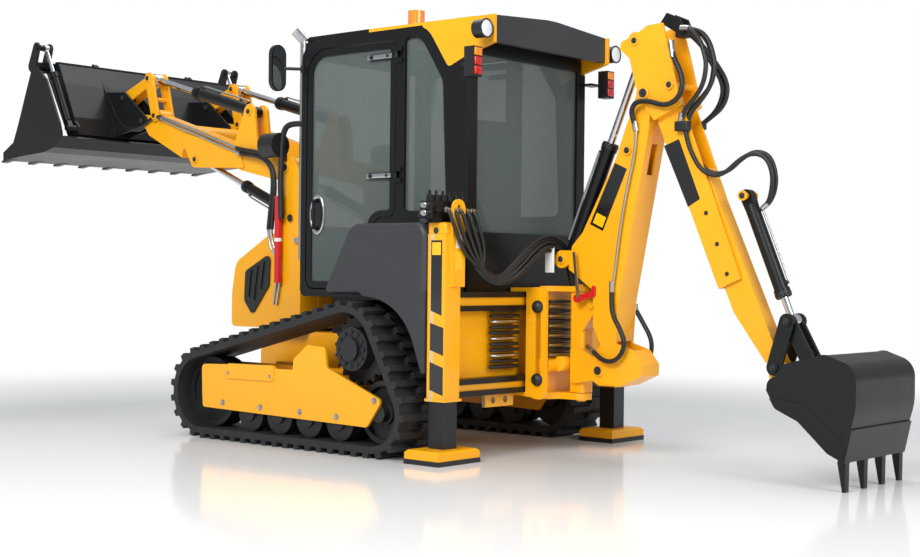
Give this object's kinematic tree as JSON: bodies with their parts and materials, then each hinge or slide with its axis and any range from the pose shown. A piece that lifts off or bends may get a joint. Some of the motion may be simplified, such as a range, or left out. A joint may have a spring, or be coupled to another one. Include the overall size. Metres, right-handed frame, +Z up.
{
  "type": "compact tracked backhoe loader",
  "caption": "Compact tracked backhoe loader with a clam shovel at the front and a side-shift digging arm at the back, all arms, rams, doors and stabilizers jointed.",
  "frame": {"origin": "on the ground, at the middle of the whole length and width", "axes": "+X to the loader end, +Y to the machine's left, +Z up"},
  "size_m": [5.766, 1.769, 2.378],
  "materials": {
    "amber_lens": "gloss",
    "black_paint": "satin",
    "black_plastic": "matte",
    "cast_grey": "cast",
    "chrome_rod": "polished",
    "dark_grey_paint": "satin",
    "glass": "tinted",
    "lamp_white": "gloss",
    "red_lens": "gloss",
    "red_paint": "gloss",
    "rubber": "matte",
    "seat_cover": "matte",
    "steel": "brushed",
    "yellow_paint": "gloss"
  },
  "bodies": {
    "chassis": {"main_frame": "yellow_paint", "loader_towers": "yellow_paint", "engine_block": "cast_grey", "track_left": "rubber", "track_right": "rubber", "track_frames": "yellow_paint", "rollers": "black_paint", "sprockets": "dark_grey_paint", "cab_frame": "black_paint", "cab_roof": "yellow_paint", "rear_visor": "black_paint", "cab_glass": "glass", "seat": "seat_cover", "controls": "black_plastic", "side_tanks": "black_paint", "rear_frame": "yellow_paint", "side_shift_rails": "black_paint", "exhaust_stack": "steel", "mirrors": "black_paint", "work_lamps": "lamp_white", "tail_lamps": "red_lens", "beacon": "amber_lens", "headlamps": "black_paint", "safety_strut": "red_paint", "valve_block": "black_paint"},
    "loader_arms": {"loader_arms": "yellow_paint"},
    "lift_barrels": {"lift_barrels": "black_paint"},
    "lift_rods": {"lift_rods": "chrome_rod"},
    "shovel_back": {"shovel_back": "dark_grey_paint"},
    "bell_cranks": {"bell_cranks": "yellow_paint"},
    "tilt_links": {"tilt_links": "yellow_paint"},
    "tilt_barrels": {"tilt_barrels": "black_paint"},
    "tilt_rods": {"tilt_rods": "chrome_rod"},
    "clam_jaw": {"clam_jaw": "dark_grey_paint"},
    "clam_barrels": {"clam_barrels": "black_paint"},
    "clam_rods": {"clam_rods": "chrome_rod"},
    "carriage": {"carriage": "yellow_paint", "slew_actuator": "yellow_paint"},
    "kingpost": {"kingpost": "yellow_paint"},
    "boom": {"boom": "yellow_paint", "boom_lock": "red_paint"},
    "boom_barrel": {"boom_barrel": "black_paint"},
    "boom_rod": {"boom_rod": "chrome_rod"},
    "dipper_outer": {"dipper_outer": "yellow_paint"},
    "dipper_barrel": {"dipper_barrel": "black_paint"},
    "dipper_rod": {"dipper_rod": "chrome_rod"},
    "dipper_inner": {"dipper_inner": "yellow_paint"},
    "digging_bucket": {"digging_bucket": "dark_grey_paint"},
    "tipping_links": {"tipping_links": "dark_grey_paint"},
    "bucket_link": {"bucket_link": "dark_grey_paint"},
    "bucket_barrel": {"bucket_barrel": "black_paint"},
    "bucket_rod": {"bucket_rod": "chrome_rod"},
    "stabilizer_left": {"stabilizer_left": "black_paint"},
    "door_left": {"door_left": "black_paint", "door_glass_left": "glass"},
    "stabilizer_right": {"stabilizer_right": "black_paint"},
    "door_right": {"door_right": "black_paint", "door_glass_right": "glass"},
    "bonnet": {"bonnet": "yellow_paint", "bonnet_grilles": "black_paint"}
  },
  "joints": [
    {"name": "loader_lift", "type": "hinge", "parent": "chassis", "child": "loader_arms", "pos_m": [0.579, 0, 1.535], "axis": [0, -1, 0], "range_deg": [-76, 8]},
    {"name": "lift_ram_swing", "type": "hinge", "parent": "chassis", "child": "lift_barrels", "pos_m": [0.529, 0, 1.243], "axis": [0, -1, 0], "range_deg": [-74.67, 7.9]},
    {"name": "lift_ram_stroke", "type": "slide", "parent": "lift_barrels", "child": "lift_rods", "axis": [0.9205, 0, 0.3908], "range_m": [-0.3673, 0.03911]},
    {"name": "shovel_tilt", "type": "hinge", "parent": "loader_arms", "child": "shovel_back", "pos_m": [1.93, 0, 1.883], "axis": [0, 1, 0], "range_deg": [-84, 46]},
    {"name": "crank_swing", "type": "hinge", "parent": "loader_arms", "child": "bell_cranks", "pos_m": [1.801, 0, 1.907], "axis": [0, 1, 0], "range_deg": [-82.67, 45.3]},
    {"name": "tilt_link_swing", "type": "hinge", "parent": "shovel_back", "child": "tilt_links", "pos_m": [2.128, 0, 2.039], "axis": [0, 1, 0], "range_deg": [-21.09, 38.48]},
    {"name": "tilt_ram_swing", "type": "hinge", "parent": "loader_arms", "child": "tilt_barrels", "pos_m": [0.914, 0, 1.878], "axis": [0, -1, 0], "range_deg": [-2.57, 4.66]},
    {"name": "tilt_ram_stroke", "type": "slide", "parent": "tilt_barrels", "child": "tilt_rods", "axis": [0.9627, 0, 0.2705], "range_m": [-0.30532, 0.16743]},
    {"name": "clam_open", "type": "hinge", "parent": "shovel_back", "child": "clam_jaw", "pos_m": [2.517, 0, 2.231], "axis": [0, -1, 0], "range_deg": [0, 60]},
    {"name": "clam_ram_swing", "type": "hinge", "parent": "shovel_back", "child": "clam_barrels", "pos_m": [2.211, 0, 1.824], "axis": [0, -1, 0], "range_deg": [-0.05, 4.69]},
    {"name": "clam_ram_stroke", "type": "slide", "parent": "clam_barrels", "child": "clam_rods", "axis": [0.4499, 0, 0.8931], "range_m": [-0.11651, 0.0005]},
    {"name": "side_shift", "type": "slide", "parent": "chassis", "child": "carriage", "axis": [0, 1, 0], "range_m": [-0.4, 0.44]},
    {"name": "slew", "type": "hinge", "parent": "carriage", "child": "kingpost", "pos_m": [-1.201, -0.04, 0.6], "axis": [0, 0, -1], "range_deg": [-80, 80]},
    {"name": "boom_lower", "type": "hinge", "parent": "kingpost", "child": "boom", "pos_m": [-1.368, -0.04, 0.449], "axis": [0, -1, 0], "range_deg": [-4, 85]},
    {"name": "boom_ram_swing", "type": "hinge", "parent": "kingpost", "child": "boom_barrel", "pos_m": [-1.293, -0.04, 0.786], "axis": [0, -1, 0], "range_deg": [-4.53, 95.26]},
    {"name": "boom_ram_stroke", "type": "slide", "parent": "boom_barrel", "child": "boom_rod", "axis": [-0.2929, 0, 0.9562], "range_m": [-0.02073, 0.43037]},
    {"name": "dipper_swing", "type": "hinge", "parent": "boom", "child": "dipper_outer", "pos_m": [-1.637, -0.04, 1.841], "axis": [0, -1, 0], "range_deg": [-100, 6]},
    {"name": "dipper_ram_swing", "type": "hinge", "parent": "boom", "child": "dipper_barrel", "pos_m": [-1.125, -0.04, 1.016], "axis": [0, -1, 0], "range_deg": [-7.76, 0.51]},
    {"name": "dipper_ram_stroke", "type": "slide", "parent": "dipper_barrel", "child": "dipper_rod", "axis": [-0.3859, 0, 0.9225], "range_m": [-0.40387, 0.0247]},
    {"name": "dipper_extend", "type": "slide", "parent": "dipper_outer", "child": "dipper_inner", "axis": [-0.3969, 0, -0.9178], "range_m": [0, 0.4]},
    {"name": "bucket_curl", "type": "hinge", "parent": "dipper_inner", "child": "digging_bucket", "pos_m": [-2.377, -0.04, 0.424], "axis": [0, -1, 0], "range_deg": [-4, 112]},
    {"name": "tipping_swing", "type": "hinge", "parent": "dipper_inner", "child": "tipping_links", "pos_m": [-2.353, -0.04, 0.512], "axis": [0, -1, 0], "range_deg": [-3.56, 98.4]},
    {"name": "bucket_link_swing", "type": "hinge", "parent": "digging_bucket", "child": "bucket_link", "pos_m": [-2.551, -0.04, 0.482], "axis": [0, -1, 0], "range_deg": [-37.84, 1.4]},
    {"name": "bucket_ram_swing", "type": "hinge", "parent": "dipper_inner", "child": "bucket_barrel", "pos_m": [-2.171, -0.04, 1.321], "axis": [0, -1, 0], "range_deg": [-4.43, 0.21]},
    {"name": "bucket_ram_stroke", "type": "slide", "parent": "bucket_barrel", "child": "bucket_rod", "axis": [-0.3837, 0, -0.9234], "range_m": [-0.01262, 0.33992]},
    {"name": "stabilizer_lift_left", "type": "slide", "parent": "chassis", "child": "stabilizer_left", "axis": [0, 0, 1], "range_m": [0, 0.2]},
    {"name": "door_open_left", "type": "hinge", "parent": "chassis", "child": "door_left", "pos_m": [-0.376, 0.513, 1], "axis": [0, 0, 1], "range_deg": [0, 52]},
    {"name": "stabilizer_lift_right", "type": "slide", "parent": "chassis", "child": "stabilizer_right", "axis": [0, 0, 1], "range_m": [0, 0.2]},
    {"name": "door_open_right", "type": "hinge", "parent": "chassis", "child": "door_right", "pos_m": [-0.376, -0.513, 1], "axis": [0, 0, -1], "range_deg": [0, 52]},
    {"name": "bonnet_open", "type": "hinge", "parent": "chassis", "child": "bonnet", "pos_m": [0.673, 0, 1.194], "axis": [0, -1, 0], "range_deg": [0, 55]}
  ],
  "couplings": [
    {"joint": "lift_ram_swing", "follows": "loader_lift", "ratio": 0.98179},
    {"joint": "lift_ram_stroke", "follows": "loader_lift", "m_per_rad": 0.27653},
    {"joint": "crank_swing", "follows": "shovel_tilt", "ratio": 0.98359},
    {"joint": "tilt_link_swing", "follows": "shovel_tilt", "ratio": -0.45747},
    {"joint": "tilt_ram_swing", "follows": "shovel_tilt", "ratio": -0.054877},
    {"joint": "tilt_ram_stroke", "follows": "shovel_tilt", "m_per_rad": 0.20792},
    {"joint": "clam_ram_swing", "follows": "clam_open", "ratio": 0.077368},
    {"joint": "clam_ram_stroke", "follows": "clam_open", "m_per_rad": -0.11078},
    {"joint": "boom_ram_swing", "follows": "boom_lower", "ratio": 1.1201},
    {"joint": "boom_ram_stroke", "follows": "boom_lower", "m_per_rad": 0.28976},
    {"joint": "dipper_ram_swing", "follows": "dipper_swing", "ratio": 0.077051},
    {"joint": "dipper_ram_stroke", "follows": "dipper_swing", "m_per_rad": 0.23112},
    {"joint": "tipping_swing", "follows": "bucket_curl", "ratio": 0.87809},
    {"joint": "bucket_link_swing", "follows": "bucket_curl", "ratio": -0.33741},
    {"joint": "bucket_ram_swing", "follows": "bucket_curl", "ratio": -0.039124},
    {"joint": "bucket_ram_stroke", "follows": "bucket_curl", "m_per_rad": 0.17364}
  ]
}
